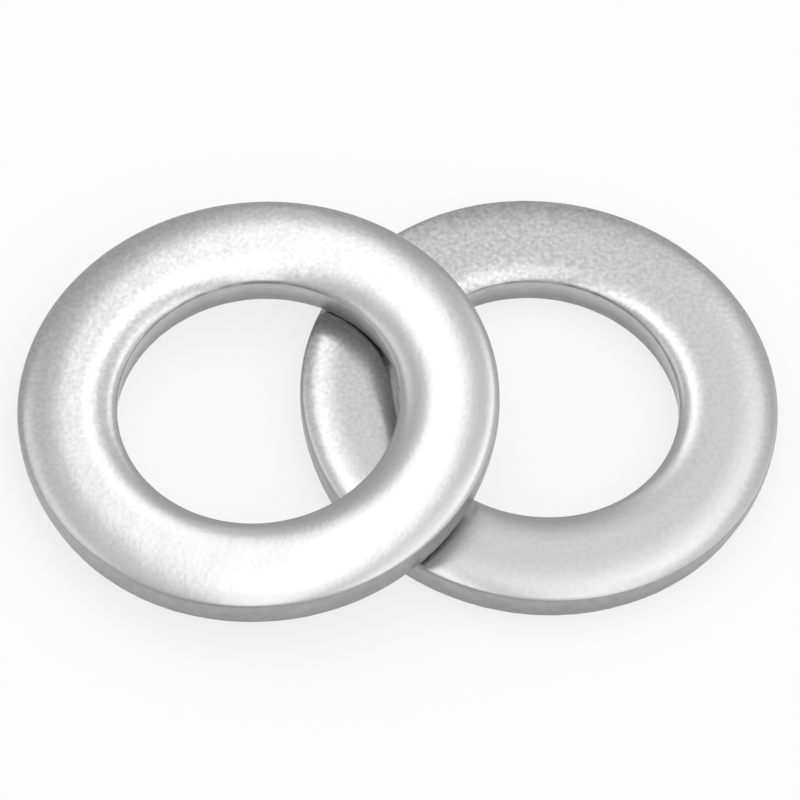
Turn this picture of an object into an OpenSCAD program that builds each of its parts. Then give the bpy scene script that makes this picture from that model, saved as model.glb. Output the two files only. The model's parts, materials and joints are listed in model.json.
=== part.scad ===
// A pair of stamped flat washers. One lies flat, and the other leans on its rim.
// Millimetres, +Z up. The surface that they lie on is Z = 0, the centres are both over the X axis,
// and the origin is in the middle of the pair's footprint.

/* [Washer] */
// Outer diameter
outer_d = 18; // [17:0.25:24]
// Hole diameter, at the smooth land of the sheared wall
hole_d = 10.5; // [8.5:0.25:11.5]
// Thickness between the two flat faces
thickness = 1.6; // [1.4:0.05:3]

/* [Sheared edges] */
// Width of the rolled edge round the rim, on the upper face
rim_roll_w = 1.7; // [0.4:0.05:1.8]
// Depth of the rolled edge round the rim
rim_roll_h = 0.26; // [0.1:0.02:0.4]
// Width of the rolled edge round the hole, on the upper face
hole_roll_w = 1.35; // [0.4:0.05:1.4]
// Depth of the rolled edge round the hole
hole_roll_h = 0.28; // [0.1:0.02:0.4]
// Height over the lower face at which the smooth land gives way to the break
break_h = 0.85; // [0.4:0.05:0.95]
// How far the break tapers in below the rim's land
rim_break = 0.2; // [0.02:0.02:0.3]
// How far the break opens out below the hole's land
hole_break = 0.14; // [0.02:0.02:0.3]
// Tumbled radius where a broken wall meets the lower face
edge_r = 0.08; // [0.04:0.02:0.2]

/* [Pair] */
// Distance along X between the centres of the two lower faces
centre_distance = 10.56; // [10:0.04:11.2]
// Air left where the leaning washer rests on the flat one
rest_clearance = 0.02; // [0.01:0.01:0.05]

/* [Hidden] */

outer_r = outer_d / 2;
hole_r = hole_d / 2;
roll_steps = 14;
edge_steps = 5;
$fn = 180;

// Radii of the flat lower face, between the tumbled edges
foot_inner_r = hole_r + hole_break + edge_r;
foot_outer_r = outer_r - rim_break - edge_r;

// On a ring with no room for both rolled edges, they narrow in step until they fit side by side
roll_fit = min(1, (outer_r - hole_r - edge_r) / (rim_roll_w + hole_roll_w));
rim_w = rim_roll_w * roll_fit;
hole_w = hole_roll_w * roll_fit;

// Points of an elliptical arc in the section plane, from one angle to another
function arc(centre, half_size, from, to, steps) = [
    for (i = [0 : steps])
        let (a = from + (to - from) * i / steps)
        [centre.x + half_size.x * cos(a), centre.y + half_size.y * sin(a)]
];

// Half section of a washer: radius along X, height over the lower face along Y
function section() = concat(
    arc([foot_inner_r, edge_r], [edge_r, edge_r], 270, 180, edge_steps),
    [[hole_r, break_h]],
    arc([hole_r + hole_w, thickness - hole_roll_h], [hole_w, hole_roll_h], 180, 90, roll_steps),
    arc([outer_r - rim_w, thickness - rim_roll_h], [rim_w, rim_roll_h], 90, 0, roll_steps),
    [[outer_r, break_h]],
    arc([foot_outer_r, edge_r], [edge_r, edge_r], 0, -90, edge_steps)
);

// Drop of a rolled edge, a given way into its width
function roll_drop(into, w, h) = into <= 0 ? 0 : h * (1 - sqrt(max(0, 1 - pow(into / w, 2))));

// Height of the flat washer's upper side at a given radius, or below the surface where there is no washer
function upper_side(radius) =
    radius > outer_r || radius < hole_r ? -thickness
    : thickness - roll_drop(radius - outer_r + rim_w, rim_w, rim_roll_h)
                - roll_drop(hole_r + hole_w - radius, hole_w, hole_roll_h);

// Height of the centre of the leaning washer's lower face, when its tumbled rim touches the surface
function lifted(lean) = edge_r + foot_outer_r * sin(lean) - edge_r * cos(lean);

// Least height of the leaning washer's lower face over the flat washer's upper side
function least_gap(lean) = min([
    for (r = [foot_inner_r : 0.15 : foot_outer_r], a = [0 : 1.5 : 180])
        let (along = r * cos(a))
        lifted(lean) + along * sin(lean)
            - upper_side(norm([along * cos(lean) - centre_distance, r * sin(a)]))
]);

// Smallest lean that keeps the clearance, found by halving the range between two leans
function resting_lean(low, high, halvings) =
    let (middle = (low + high) / 2)
    halvings == 0 ? high
    : least_gap(middle) > rest_clearance ? resting_lean(low, middle, halvings - 1)
    : resting_lean(middle, high, halvings - 1);

lean = resting_lean(0, 40, 18);

// How far the leaning washer's rim reaches in -X from the centre of its lower face
lean_reach = (outer_r - rim_w) * cos(lean) + (thickness - rim_roll_h) * sin(lean)
    + norm([rim_w * cos(lean), rim_roll_h * sin(lean)]);
lower_x = (centre_distance + lean_reach - outer_r) / 2;
upper_x = lower_x - centre_distance;

module washer() {
    color([0.78, 0.78, 0.79])
        rotate_extrude()
            polygon(section());
}

module lower_washer() {
    translate([lower_x, 0, 0])
        washer();
}

module upper_washer() {
    translate([upper_x, 0, lifted(lean)])
        rotate([0, -lean, 0])
            washer();
}

lower_washer();
upper_washer();
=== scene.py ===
"""Dresses a pair of stamped flat washers: tumbled metal rings, one flat and one leaning on its rim."""

import json
import math

import bpy
import numpy as np
from mathutils import Matrix, Vector

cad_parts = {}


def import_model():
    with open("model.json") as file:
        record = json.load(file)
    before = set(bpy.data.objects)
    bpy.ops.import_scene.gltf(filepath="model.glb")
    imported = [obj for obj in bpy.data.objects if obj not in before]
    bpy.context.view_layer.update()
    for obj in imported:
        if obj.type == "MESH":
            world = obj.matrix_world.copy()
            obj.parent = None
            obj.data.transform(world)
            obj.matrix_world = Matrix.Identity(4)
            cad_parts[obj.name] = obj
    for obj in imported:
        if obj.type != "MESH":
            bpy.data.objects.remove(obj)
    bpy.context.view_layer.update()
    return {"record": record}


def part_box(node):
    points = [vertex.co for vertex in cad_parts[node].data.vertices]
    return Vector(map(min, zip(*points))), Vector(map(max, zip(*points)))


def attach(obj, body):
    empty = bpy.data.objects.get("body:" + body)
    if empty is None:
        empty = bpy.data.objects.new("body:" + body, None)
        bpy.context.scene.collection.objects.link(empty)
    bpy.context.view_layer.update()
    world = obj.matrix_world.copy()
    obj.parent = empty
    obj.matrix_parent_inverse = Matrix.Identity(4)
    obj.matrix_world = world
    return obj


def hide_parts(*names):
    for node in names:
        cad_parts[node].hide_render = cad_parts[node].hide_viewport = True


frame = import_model()

MM = 0.001
PHOTO_SIZE = 800
SENSOR_WIDTH = 36.0
CLIP_START = 0.01

# The view: where the camera looks, and from where
CAMERA_AZIMUTH = math.radians(-14.66)
CAMERA_ELEVATION = math.radians(56.34)
CAMERA_ROLL = math.radians(8.27)
CAMERA_DISTANCE = 343.0 * MM
CAMERA_AIM = Vector((0.312 * MM, 1.231 * MM, 0.0))
FOCAL_PIXELS = 9123.0

# The sheared section: the solids' sizes, and the corner radii and the soft bend that the solids lack
RIM_ROLL = (1.7 * MM, 0.26 * MM)
HOLE_ROLL = (1.35 * MM, 0.28 * MM)
RIM_CORNER = 0.12 * MM
HOLE_CORNER = 0.15 * MM
BREAK_H = 0.85 * MM
BREAK_BLEND = 0.3 * MM
RIM_BREAK = 0.2 * MM
HOLE_BREAK = 0.14 * MM
EDGE_R = 0.08 * MM

# Punching leaves the rolled edges a little deeper on one side than on the other. The extra depth starts
# at a radius. At the edge it is a mean and a swing in mm, and the swing is greatest at an angle in
# degrees.
RIM_DIP_START = 6.6 * MM
HOLE_DIP_START = 7.4 * MM
DIPS = {
    "lower_washer": {"rim": (0.0, 0.03, -125), "hole": (0.0, 0.02, 25)},
    "upper_washer": {"rim": (0.005, 0.025, 110), "hole": (0.02, 0.01, -90)},
}

# Steps of a mesh round its ring, and along each stretch of the section
RING_STEPS = 640
STEPS = {"foot": 4, "wall": 20, "hole_edge": 30, "face": 12, "rim_edge": 34, "underside": 24}
# Halvings in the search for where a corner meets its rolled edge
HALVINGS = 40

# The metal: reflectance and roughness of its smooth skin
REFLECTANCE = 0.56
ROUGHNESS = 0.2
# Roughness of a flat face that has lost its polish, and how far each ring's flat faces go towards it
FACE_ROUGHNESS = 0.27
MATTE = {"lower_washer": 1.0, "upper_washer": 0.2}
# Reflectance and roughness of the sheared walls, and of their torn lower part. The low reflectances are
# partly duller sheared metal and partly painted shade: of the shadowed table that the walls mirror,
# darkest on the rim walls, and of the gap where the rings touch, on the torn part
DULL_AND_SHADED_WALLS = {"hole_wall": (0.5, 0.34), "rim_wall": (0.38, 0.34), "torn": (0.32, 0.45)}
# Painted shade: a dark line round the hole's upper edge. How far the surface has turned there and how
# much to either side, its reflectance, and the angle round the ring, in degrees, where it is strongest
SHADE_LINE_TURN = (0.72, 0.3)
SHADE_LINE_REFLECTANCE = 0.27
SHADE_LINE_WAY = 90
# The line's mean strength, then the lengths of the waves in it and how fast they change it per metre
SHADE_LINE_STRENGTH = 0.7
SHADE_LINE_WAVES = ((0.25 * MM, 1.2 * MM), 3000)
# Height over which the skin of the wall gives way to the torn part, then the lengths of the waves in that
# border and their slope
TORN_BLEND = 0.7 * MM
TORN_WAVES = ((0.8 * MM, 3 * MM), 0.2)
# The polish of a rolled edge is whole from this share of the way to upright
ROLL_TURN = 0.2
# A surface counts as skin up to the first share of the way to upright, and as wall from the second
WALL_TURN = (0.35, 0.95)

# Relief: how many waves make up a layer of it, then the lengths and the slope of each layer's waves. TEAR
# is the relief of the torn part, and the others are the skin's.
WAVE_COUNT = 60
WARP = ((5 * MM, 11 * MM), 0.004)
PEEN = ((0.8 * MM, 2.2 * MM), 0.003)
GRAIN = ((0.35 * MM, 0.6 * MM), 0.0015)
TEAR = ((0.3 * MM, 0.7 * MM), 0.03)
# Dents of tumbling: their number, radii and slope
DENTS = 50
DENT_RADII = (0.09 * MM, 0.22 * MM)
DENT_SLOPE = 0.012
# Seeds of the random draws
SEEDS = {"lower_washer": 3, "upper_washer": 8}
# Each noise of the material has cells to the metre and a detail. The range is what it keeps to nearly
# everywhere.
NOISE_RANGE = (0.3, 0.7)
# Finer relief, and its depth
FINE_GRAIN, GRAIN_DEPTH = (5200, 1.5), 1e-6
FINE_TEAR, TEAR_DEPTH = (4200, 2), 8e-6
# Blotches of the walls, and how far they change the reflectance
BLOTCHES, BLOTCH_SWING = (2500, 2), 0.03
# Fine flecks of the skin. How far they change its reflectance is greatest at one angle round the ring, in
# degrees, and fades to a share of that on the opposite side.
FLECK_CELLS = (5600, 1.0)
FLECK_LEAST = 0.12
FLECKS = {"lower_washer": (0.095, 100), "upper_washer": (0.055, 120)}

# The studio: soft panels overhead. Each runs from one point to another over the table, in mm, and has a
# width, a height and a radiance. The two long strips draw the bright lines on the edges.
PANELS = {
    "left_strip_end": ((0, 480), (-10, 262), 60, 290, 0.3),
    "left_strip_far": ((-10, 262), (-40, 80), 56, 290, 1.46),
    "left_strip_near": ((-40, 80), (-76, -90), 60, 290, 0.95),
    "right_strip_end": ((150, 320), (124, 220), 60, 290, 0.31),
    "right_strip_far": ((124, 220), (98, 50), 60, 290, 0.88),
    "right_strip_near": ((98, 50), (90, -160), 70, 290, 0.41),
    "middle_panel": ((50, 110), (40, -80), 60, 292, 0.52),
    "left_panel": ((-190, 270), (-210, 60), 100, 295, 0.55),
    "near_panel": ((100, -140), (180, -300), 150, 299, 0.52),
}
# The room behind them: an even light and broad glows. A glow has a direction, the angle in degrees at
# which it has faded, and a radiance. It is whole within the core's angle.
ROOM = 0.57
GLOW_CORE = 5
GLOWS = {
    "right_wall": ((1.0, 0.1, 0.5), 60, 0.15),
    "near_right": ((0.8, -0.8, 0.8), 60, 0.34),
    "low_right": ((1.0, 0.0, 0.15), 45, 0.37),
    "low_left": ((-1.0, 0.0, 0.15), 45, 0.37),
    "ceiling": ((0.05, 0.2, 1.0), 45, 0.33),
}
FLOOR_SIZE = 2.0
FLOOR_ALBEDO = 0.95
FLOOR_WHITE = 0.75


def mount(name):
    return next(m for m in frame["record"]["mounts"] if m["name"] == name)


HOLE_R = mount("lower_hole")["dims"]["r_mm"] * MM
LOW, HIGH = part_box("lower_washer")
OUTER_R = (HIGH.x - LOW.x) / 2
THICKNESS = HIGH.z - LOW.z
LAND_MIDDLE = mount("lower_hole")["pos_m"][2]


def arc(centre, half_size, start, end, steps):
    """Points of an elliptical arc in the section plane, its last one left out."""
    angles = np.radians(np.linspace(start, end, steps, endpoint=False))
    return centre + half_size * np.column_stack([np.cos(angles), np.sin(angles)])


def line(start, end, steps):
    return np.linspace(start, end, steps, endpoint=False)


def rolled_edge(wall_r, outward, roll, corner, steps):
    """A rolled edge from the wall up to the flat face: a corner's arc, then a shallow ellipse."""
    width, depth = roll
    low, high = 0.0, math.pi / 2
    for _ in range(HALVINGS):
        turn = (low + high) / 2
        across, up = math.cos(turn) / width, math.sin(turn) / depth
        across /= math.hypot(across, up)
        if width * (1 - math.cos(turn)) > corner * (1 - across):
            high = turn
        else:
            low = turn
    lean = math.acos(across)
    start = np.array([width * math.cos(turn) - width, depth * math.sin(turn) - depth])
    centre = start - corner * np.array([math.cos(lean), math.sin(lean)])
    bend = arc(centre, (corner, corner), 0, math.degrees(lean), steps // 2)
    ramp = arc((-width, -depth), (width, depth), math.degrees(turn), 90, steps - steps // 2)
    points = np.vstack([bend, ramp])
    points[:, 0] = wall_r + outward * points[:, 0]
    points[:, 1] += THICKNESS
    return points


def sheared_wall(wall_r, outward, taper, top):
    """The wall up to the rolled edge: the tapered break, blended into the upright land."""
    height = np.linspace(EDGE_R, top, STEPS["wall"], endpoint=False)
    below = np.clip(BREAK_H + BREAK_BLEND - height, 0, 2 * BREAK_BLEND)
    inward = below ** 2 / (4 * BREAK_BLEND) + np.clip(BREAK_H - BREAK_BLEND - height, 0, None)
    return np.column_stack([wall_r - outward * inward * taper / (BREAK_H - EDGE_R), height])


def section():
    """The closed section, as radius and height: up through the hole, over the top and down the rim."""
    foot_inner = HOLE_R + HOLE_BREAK + EDGE_R
    foot_outer = OUTER_R - RIM_BREAK - EDGE_R
    face_inner, face_outer = (HOLE_R + HOLE_ROLL[0], THICKNESS), (OUTER_R - RIM_ROLL[0], THICKNESS)
    hole_edge = rolled_edge(HOLE_R, -1, HOLE_ROLL, HOLE_CORNER, STEPS["hole_edge"])
    rim_edge = rolled_edge(OUTER_R, 1, RIM_ROLL, RIM_CORNER, STEPS["rim_edge"])
    return np.vstack([
        arc((foot_inner, EDGE_R), (EDGE_R, EDGE_R), 270, 180, STEPS["foot"]),
        sheared_wall(HOLE_R, -1, HOLE_BREAK, hole_edge[0][1]),
        hole_edge,
        line(face_inner, face_outer, STEPS["face"]),
        [face_outer],
        rim_edge[::-1],
        sheared_wall(OUTER_R, 1, RIM_BREAK, rim_edge[0][1])[::-1],
        arc((foot_outer, EDGE_R), (EDGE_R, EDGE_R), 0, -90, STEPS["foot"]),
        line((foot_outer, 0.0), (foot_inner, 0.0), STEPS["underside"]),
    ])


def swept(turns, radius, height):
    """Points of a section turned round the axis, one row of the section after another."""
    x, y = np.outer(np.cos(turns), radius), np.outer(np.sin(turns), radius)
    return np.stack([x, y, np.broadcast_to(height, x.shape)], axis=-1).reshape(-1, 3)


def dip(co, dips):
    """How far the upper side lies below the even section at each point."""
    radius, angle = np.hypot(co[:, 0], co[:, 1]), np.arctan2(co[:, 1], co[:, 0])
    into = {
        "rim": np.clip((radius - RIM_DIP_START) / (OUTER_R - RIM_DIP_START), 0, 1) ** 2,
        "hole": np.clip((HOLE_DIP_START - radius) / (HOLE_DIP_START - HOLE_R), 0, 1) ** 2,
    }
    depth = sum(into[edge] * (mean + swing * np.cos(angle - math.radians(way)))
                for edge, (mean, swing, way) in dips.items())
    upper = np.clip((co[:, 2] - BREAK_H) / (THICKNESS - RIM_ROLL[1] - BREAK_H), 0, 1)
    return depth * upper * MM


def waves(co, lengths, slope, rng):
    """A smooth random field: plane waves of the given lengths, which together have the given slope."""
    ways = rng.normal(size=(WAVE_COUNT, 3))
    ways /= np.linalg.norm(ways, axis=1)[:, None]
    numbers = 2 * math.pi / rng.uniform(*lengths, WAVE_COUNT)
    phases = rng.uniform(0, 2 * math.pi, WAVE_COUNT)
    field = np.zeros(len(co))
    for way, number, phase in zip(ways, numbers, phases):
        field += np.sin(co @ (way * number) + phase) / number
    return field * slope * math.sqrt(2 / WAVE_COUNT)


def dents(co, rng):
    """Small round dents from tumbling, scattered over the whole ring."""
    field = np.zeros(len(co))
    for centre, radius in zip(rng.choice(len(co), DENTS), rng.uniform(*DENT_RADII, DENTS)):
        away = np.sum((co - co[centre]) ** 2, axis=1) / radius ** 2
        field -= DENT_SLOPE * radius * np.exp(-2 * away)
    return field


def torn_share(co, wall, rng):
    """How torn the wall is at each point: its lower part, up to an uneven height."""
    uneven = waves(co * (1, 1, 0), *TORN_WAVES, rng)
    return wall * np.clip((BREAK_H + uneven - co[:, 2]) / TORN_BLEND + 0.5, 0, 1)


def facing(co, way):
    """One at the points of the ring that lie at an angle, down to none on the opposite side."""
    return 0.5 + 0.5 * np.cos(np.arctan2(co[:, 1], co[:, 0]) - math.radians(way))


def shade_line_share(co, upright, rng):
    """How much of the uneven painted dark line of shade round the hole's upper edge there is at each
    point.
    """
    middle, reach = SHADE_LINE_TURN
    near = np.hypot(co[:, 0], co[:, 1]) < HOLE_R + HOLE_ROLL[0]
    above = co[:, 2] > BREAK_H
    uneven = SHADE_LINE_STRENGTH + waves(co * (1, 1, 0), *SHADE_LINE_WAVES, rng)
    band = np.clip(1 - np.abs(upright - middle) / reach, 0, 1) * near * above
    return band * np.clip(uneven, 0, 1) * facing(co, SHADE_LINE_WAY)


def etch(co, most, way):
    """How far the flecks change the skin's reflectance at each point."""
    return most * (FLECK_LEAST + (1 - FLECK_LEAST) * facing(co, way) ** 2)


def ring_faces(count):
    """The faces of a swept section of so many points, as the numbers of their corners."""
    ring = np.arange(RING_STEPS)[:, None]
    step = np.arange(count)[None, :]
    here, after = ring * count, (ring + 1) % RING_STEPS * count
    following = (step + 1) % count
    corners = [here + step, here + following, after + following, after + step]
    return np.stack(corners, axis=-1).reshape(-1, 4)


def ring_piece(name, points, place, dips, matte, flecking, seed):
    """The section swept round the axis, with its relief pressed in, set in its place in the pair."""
    rng = np.random.default_rng(seed)
    turns = np.linspace(0, 2 * math.pi, RING_STEPS, endpoint=False)
    along = np.roll(points, -1, axis=0) - np.roll(points, 1, axis=0)
    along /= np.linalg.norm(along, axis=1)[:, None]
    co = swept(turns, points[:, 0], points[:, 1])
    out = swept(turns, -along[:, 1], along[:, 0])
    upright = np.hypot(out[:, 0], out[:, 1])
    wall = np.clip((upright - WALL_TURN[0]) / (WALL_TURN[1] - WALL_TURN[0]), 0, 1)
    torn = torn_share(co, wall, rng)
    skin = waves(co, *WARP, rng) + waves(co, *PEEN, rng) + waves(co, *GRAIN, rng) + dents(co, rng)
    relief = skin + torn * waves(co, *TEAR, rng)
    # Painted shade: the dark line round the hole's upper edge
    shade_line = shade_line_share(co, upright, rng)
    co[:, 2] -= dip(co, dips)
    co += out * (relief - relief.max())[:, None]
    mesh = bpy.data.meshes.new(name)
    mesh.from_pydata(co.tolist(), [], ring_faces(len(points)).tolist())
    inner = np.hypot(co[:, 0], co[:, 1]) < (HOLE_R + OUTER_R) / 2
    flat = 0.5 + 0.5 * np.cos(math.pi * np.clip(upright / ROLL_TURN, 0, 1))
    zones = {
        "matte": matte * flat,
        "hole_wall": wall * inner,
        "rim_wall": wall * ~inner,
        "torn": torn,
        "shade_line": shade_line,
        "etch": etch(co, *flecking),
    }
    for label, amount in zones.items():
        attribute = mesh.attributes.new(label, "FLOAT", "POINT")
        attribute.data.foreach_set("value", amount.astype(np.float32))
    mesh.transform(place)
    mesh.polygons.foreach_set("use_smooth", [True] * len(mesh.polygons))
    mesh.update()
    piece = bpy.data.objects.new(name, mesh)
    bpy.context.scene.collection.objects.link(piece)
    return piece


def lower_place():
    return Matrix.Translation(((LOW.x + HIGH.x) / 2, (LOW.y + HIGH.y) / 2, 0.0))


def upper_place():
    """Where the leaning washer's own axes lie, from the place and tilt of its hole."""
    hole = mount("upper_hole")
    axis = Vector(hole["axis"]).normalized()
    tilt = Vector((0, 0, 1)).rotation_difference(axis).to_matrix().to_4x4()
    return Matrix.Translation(Vector(hole["pos_m"]) - axis * LAND_MIDDLE) @ tilt


def noise(tree, place, fineness, low, high):
    """A noise of the metal's own place, spread between two values."""
    grains = tree.nodes.new("ShaderNodeTexNoise")
    grains.inputs["Scale"].default_value, grains.inputs["Detail"].default_value = fineness
    tree.links.new(place, grains.inputs["Vector"])
    spread = tree.nodes.new("ShaderNodeMapRange")
    spread.inputs["From Min"].default_value, spread.inputs["From Max"].default_value = NOISE_RANGE
    spread.inputs["To Min"].default_value = low
    spread.inputs["To Max"].default_value = high
    tree.links.new(grains.outputs["Fac"], spread.inputs["Value"])
    return spread.outputs["Result"]


def zone(tree, label):
    """What the mesh has under this label at each of its points."""
    attribute = tree.nodes.new("ShaderNodeAttribute")
    attribute.attribute_name = label
    return attribute.outputs["Fac"]


def flecked(tree, place):
    """Reflectance of the skin, with fine flecks as strong as the mesh says."""
    flecks = tree.nodes.new("ShaderNodeMath")
    flecks.operation = "MULTIPLY_ADD"
    tree.links.new(noise(tree, place, FLECK_CELLS, -1.0, 1.0), flecks.inputs[0])
    tree.links.new(zone(tree, "etch"), flecks.inputs[1])
    flecks.inputs[2].default_value = REFLECTANCE
    return flecks.outputs[0]


def blend(tree, label, outside, within):
    """A value that goes from one outside a zone of the mesh to another within it."""
    mix = tree.nodes.new("ShaderNodeMix")
    tree.links.new(zone(tree, label), mix.inputs["Factor"])
    for value, socket in ((outside, "A"), (within, "B")):
        if isinstance(value, float):
            mix.inputs[socket].default_value = value
        else:
            tree.links.new(value, mix.inputs[socket])
    return mix.outputs["Result"]


def bump(tree, height, depth):
    made = tree.nodes.new("ShaderNodeBump")
    made.inputs["Distance"].default_value = depth
    tree.links.new(height, made.inputs["Height"])
    return made


def metal():
    """Tumbled steel: a skin with fine grain and flecks, and duller, blotchy walls that are torn below and
    darkened partly by painted shade. A painted dark line of shade runs round the hole's upper edge.
    """
    material = bpy.data.materials.new("tumbled_metal")
    material.use_nodes = True
    tree = material.node_tree
    shader = tree.nodes["Principled BSDF"]
    shader.inputs["Metallic"].default_value = 1.0
    place = tree.nodes.new("ShaderNodeTexCoord").outputs["Object"]
    bright, rough = flecked(tree, place), blend(tree, "matte", ROUGHNESS, FACE_ROUGHNESS)
    # The walls' reflectances: duller sheared metal, with painted shade in them
    for label, (level, dullness) in DULL_AND_SHADED_WALLS.items():
        blotchy = noise(tree, place, BLOTCHES, level - BLOTCH_SWING, level + BLOTCH_SWING)
        bright = blend(tree, label, bright, blotchy)
        rough = blend(tree, label, rough, dullness)
    # Painted shade: the dark line round the hole's upper edge, strongest on one side of the ring
    bright = blend(tree, "shade_line", bright, SHADE_LINE_REFLECTANCE)
    grey = tree.nodes.new("ShaderNodeCombineColor")
    for channel in grey.inputs:
        tree.links.new(bright, channel)
    tree.links.new(grey.outputs["Color"], shader.inputs["Base Color"])
    tree.links.new(rough, shader.inputs["Roughness"])
    fine = bump(tree, noise(tree, place, FINE_GRAIN, 0.0, 1.0), GRAIN_DEPTH)
    coarse = bump(tree, blend(tree, "torn", 0.5, noise(tree, place, FINE_TEAR, 0.0, 1.0)), TEAR_DEPTH)
    tree.links.new(fine.outputs["Normal"], coarse.inputs["Normal"])
    tree.links.new(coarse.outputs["Normal"], shader.inputs["Normal"])
    return material


def floor():
    """The table: white paper. It looks partly plain white, which lightens the shadows on it."""
    bpy.ops.mesh.primitive_plane_add(size=FLOOR_SIZE, location=(0, 0, 0))
    plane = bpy.context.object
    plane.name = "floor"
    material = bpy.data.materials.new("floor")
    material.use_nodes = True
    tree = material.node_tree
    paper = tree.nodes["Principled BSDF"]
    paper.inputs["Base Color"].default_value = (FLOOR_ALBEDO, FLOOR_ALBEDO, FLOOR_ALBEDO, 1.0)
    paper.inputs["Roughness"].default_value = 1.0
    paper.inputs["Specular IOR Level"].default_value = 0.0
    path = tree.nodes.new("ShaderNodeLightPath")
    seen = None
    for kind in ("Is Camera Ray", "Is Glossy Ray", "Is Transmission Ray"):
        either = tree.nodes.new("ShaderNodeMath")
        either.operation = "MAXIMUM"
        either.inputs[1].default_value = 0.0
        tree.links.new(path.outputs[kind], either.inputs[0])
        if seen:
            tree.links.new(seen, either.inputs[1])
        seen = either.outputs[0]
    part = tree.nodes.new("ShaderNodeMath")
    part.operation = "MULTIPLY"
    part.inputs[1].default_value = FLOOR_WHITE
    tree.links.new(seen, part.inputs[0])
    white = tree.nodes.new("ShaderNodeEmission")
    mix = tree.nodes.new("ShaderNodeMixShader")
    tree.links.new(part.outputs[0], mix.inputs["Fac"])
    tree.links.new(paper.outputs[0], mix.inputs[1])
    tree.links.new(white.outputs[0], mix.inputs[2])
    tree.links.new(mix.outputs[0], tree.nodes["Material Output"].inputs["Surface"])
    plane.data.materials.append(material)


def camera():
    """A long lens, turned about its own axis as the photo has it."""
    back = Vector((
        math.sin(CAMERA_AZIMUTH) * math.cos(CAMERA_ELEVATION),
        -math.cos(CAMERA_AZIMUTH) * math.cos(CAMERA_ELEVATION),
        math.sin(CAMERA_ELEVATION),
    ))
    level = Vector((math.cos(CAMERA_AZIMUTH), math.sin(CAMERA_AZIMUTH), 0.0))
    above = back.cross(level)
    right = math.cos(CAMERA_ROLL) * level + math.sin(CAMERA_ROLL) * above
    up = back.cross(right)
    data = bpy.data.cameras.new("camera")
    data.sensor_width = SENSOR_WIDTH
    data.lens = FOCAL_PIXELS / PHOTO_SIZE * SENSOR_WIDTH
    data.clip_start = CLIP_START
    made = bpy.data.objects.new("camera", data)
    turn = Matrix((right, up, back)).transposed().to_4x4()
    made.matrix_world = Matrix.Translation(CAMERA_AIM + back * CAMERA_DISTANCE) @ turn
    bpy.context.scene.collection.objects.link(made)
    bpy.context.scene.camera = made


def panel(name, start, end, width, height, radiance):
    """A soft panel of light that shines down, from one point to another."""
    start, end = Vector((*start, height)) * MM, Vector((*end, height)) * MM
    along = end - start
    data = bpy.data.lights.new(name, "AREA")
    data.shape = "RECTANGLE"
    data.size, data.size_y = width * MM, along.length
    data.energy = radiance * math.pi * data.size * data.size_y
    lamp = bpy.data.objects.new(name, data)
    turn = math.atan2(along.y, along.x) - math.pi / 2
    lamp.matrix_world = Matrix.Translation((start + end) / 2) @ Matrix.Rotation(turn, 4, "Z")
    lamp.visible_camera = False
    bpy.context.scene.collection.objects.link(lamp)


def world():
    """The room: an even grey with a few broad glows."""
    made = bpy.data.worlds.new("studio")
    bpy.context.scene.world = made
    made.use_nodes = True
    tree = made.node_tree
    place = tree.nodes.new("ShaderNodeTexCoord")
    total = None
    for name, (way, fades, radiance) in GLOWS.items():
        towards = tree.nodes.new("ShaderNodeVectorMath")
        towards.operation = "DOT_PRODUCT"
        towards.label = name
        tree.links.new(place.outputs["Generated"], towards.inputs[0])
        towards.inputs[1].default_value = Vector(way).normalized()
        fade = tree.nodes.new("ShaderNodeMapRange")
        fade.interpolation_type = "SMOOTHSTEP"
        tree.links.new(towards.outputs["Value"], fade.inputs["Value"])
        fade.inputs["From Min"].default_value = math.cos(math.radians(fades))
        fade.inputs["From Max"].default_value = math.cos(math.radians(GLOW_CORE))
        fade.inputs["To Max"].default_value = radiance
        add = tree.nodes.new("ShaderNodeMath")
        add.operation = "ADD"
        add.inputs[1].default_value = ROOM
        tree.links.new(fade.outputs["Result"], add.inputs[0])
        if total:
            tree.links.new(total, add.inputs[1])
        total = add.outputs[0]
    tree.links.new(total, tree.nodes["Background"].inputs["Strength"])
    tree.nodes["Background"].inputs["Color"].default_value = (1.0, 1.0, 1.0, 1.0)


camera()
world()
for name, values in PANELS.items():
    panel(name, *values)
floor()
finish = metal()
for node, place in (("lower_washer", lower_place()), ("upper_washer", upper_place())):
    name = node + "_finished"
    piece = ring_piece(name, section(), place, DIPS[node], MATTE[node], FLECKS[node], SEEDS[node])
    piece.data.materials.append(finish)
    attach(piece, "root")
    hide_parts(node)

bpy.context.scene.view_settings.view_transform = "Standard"
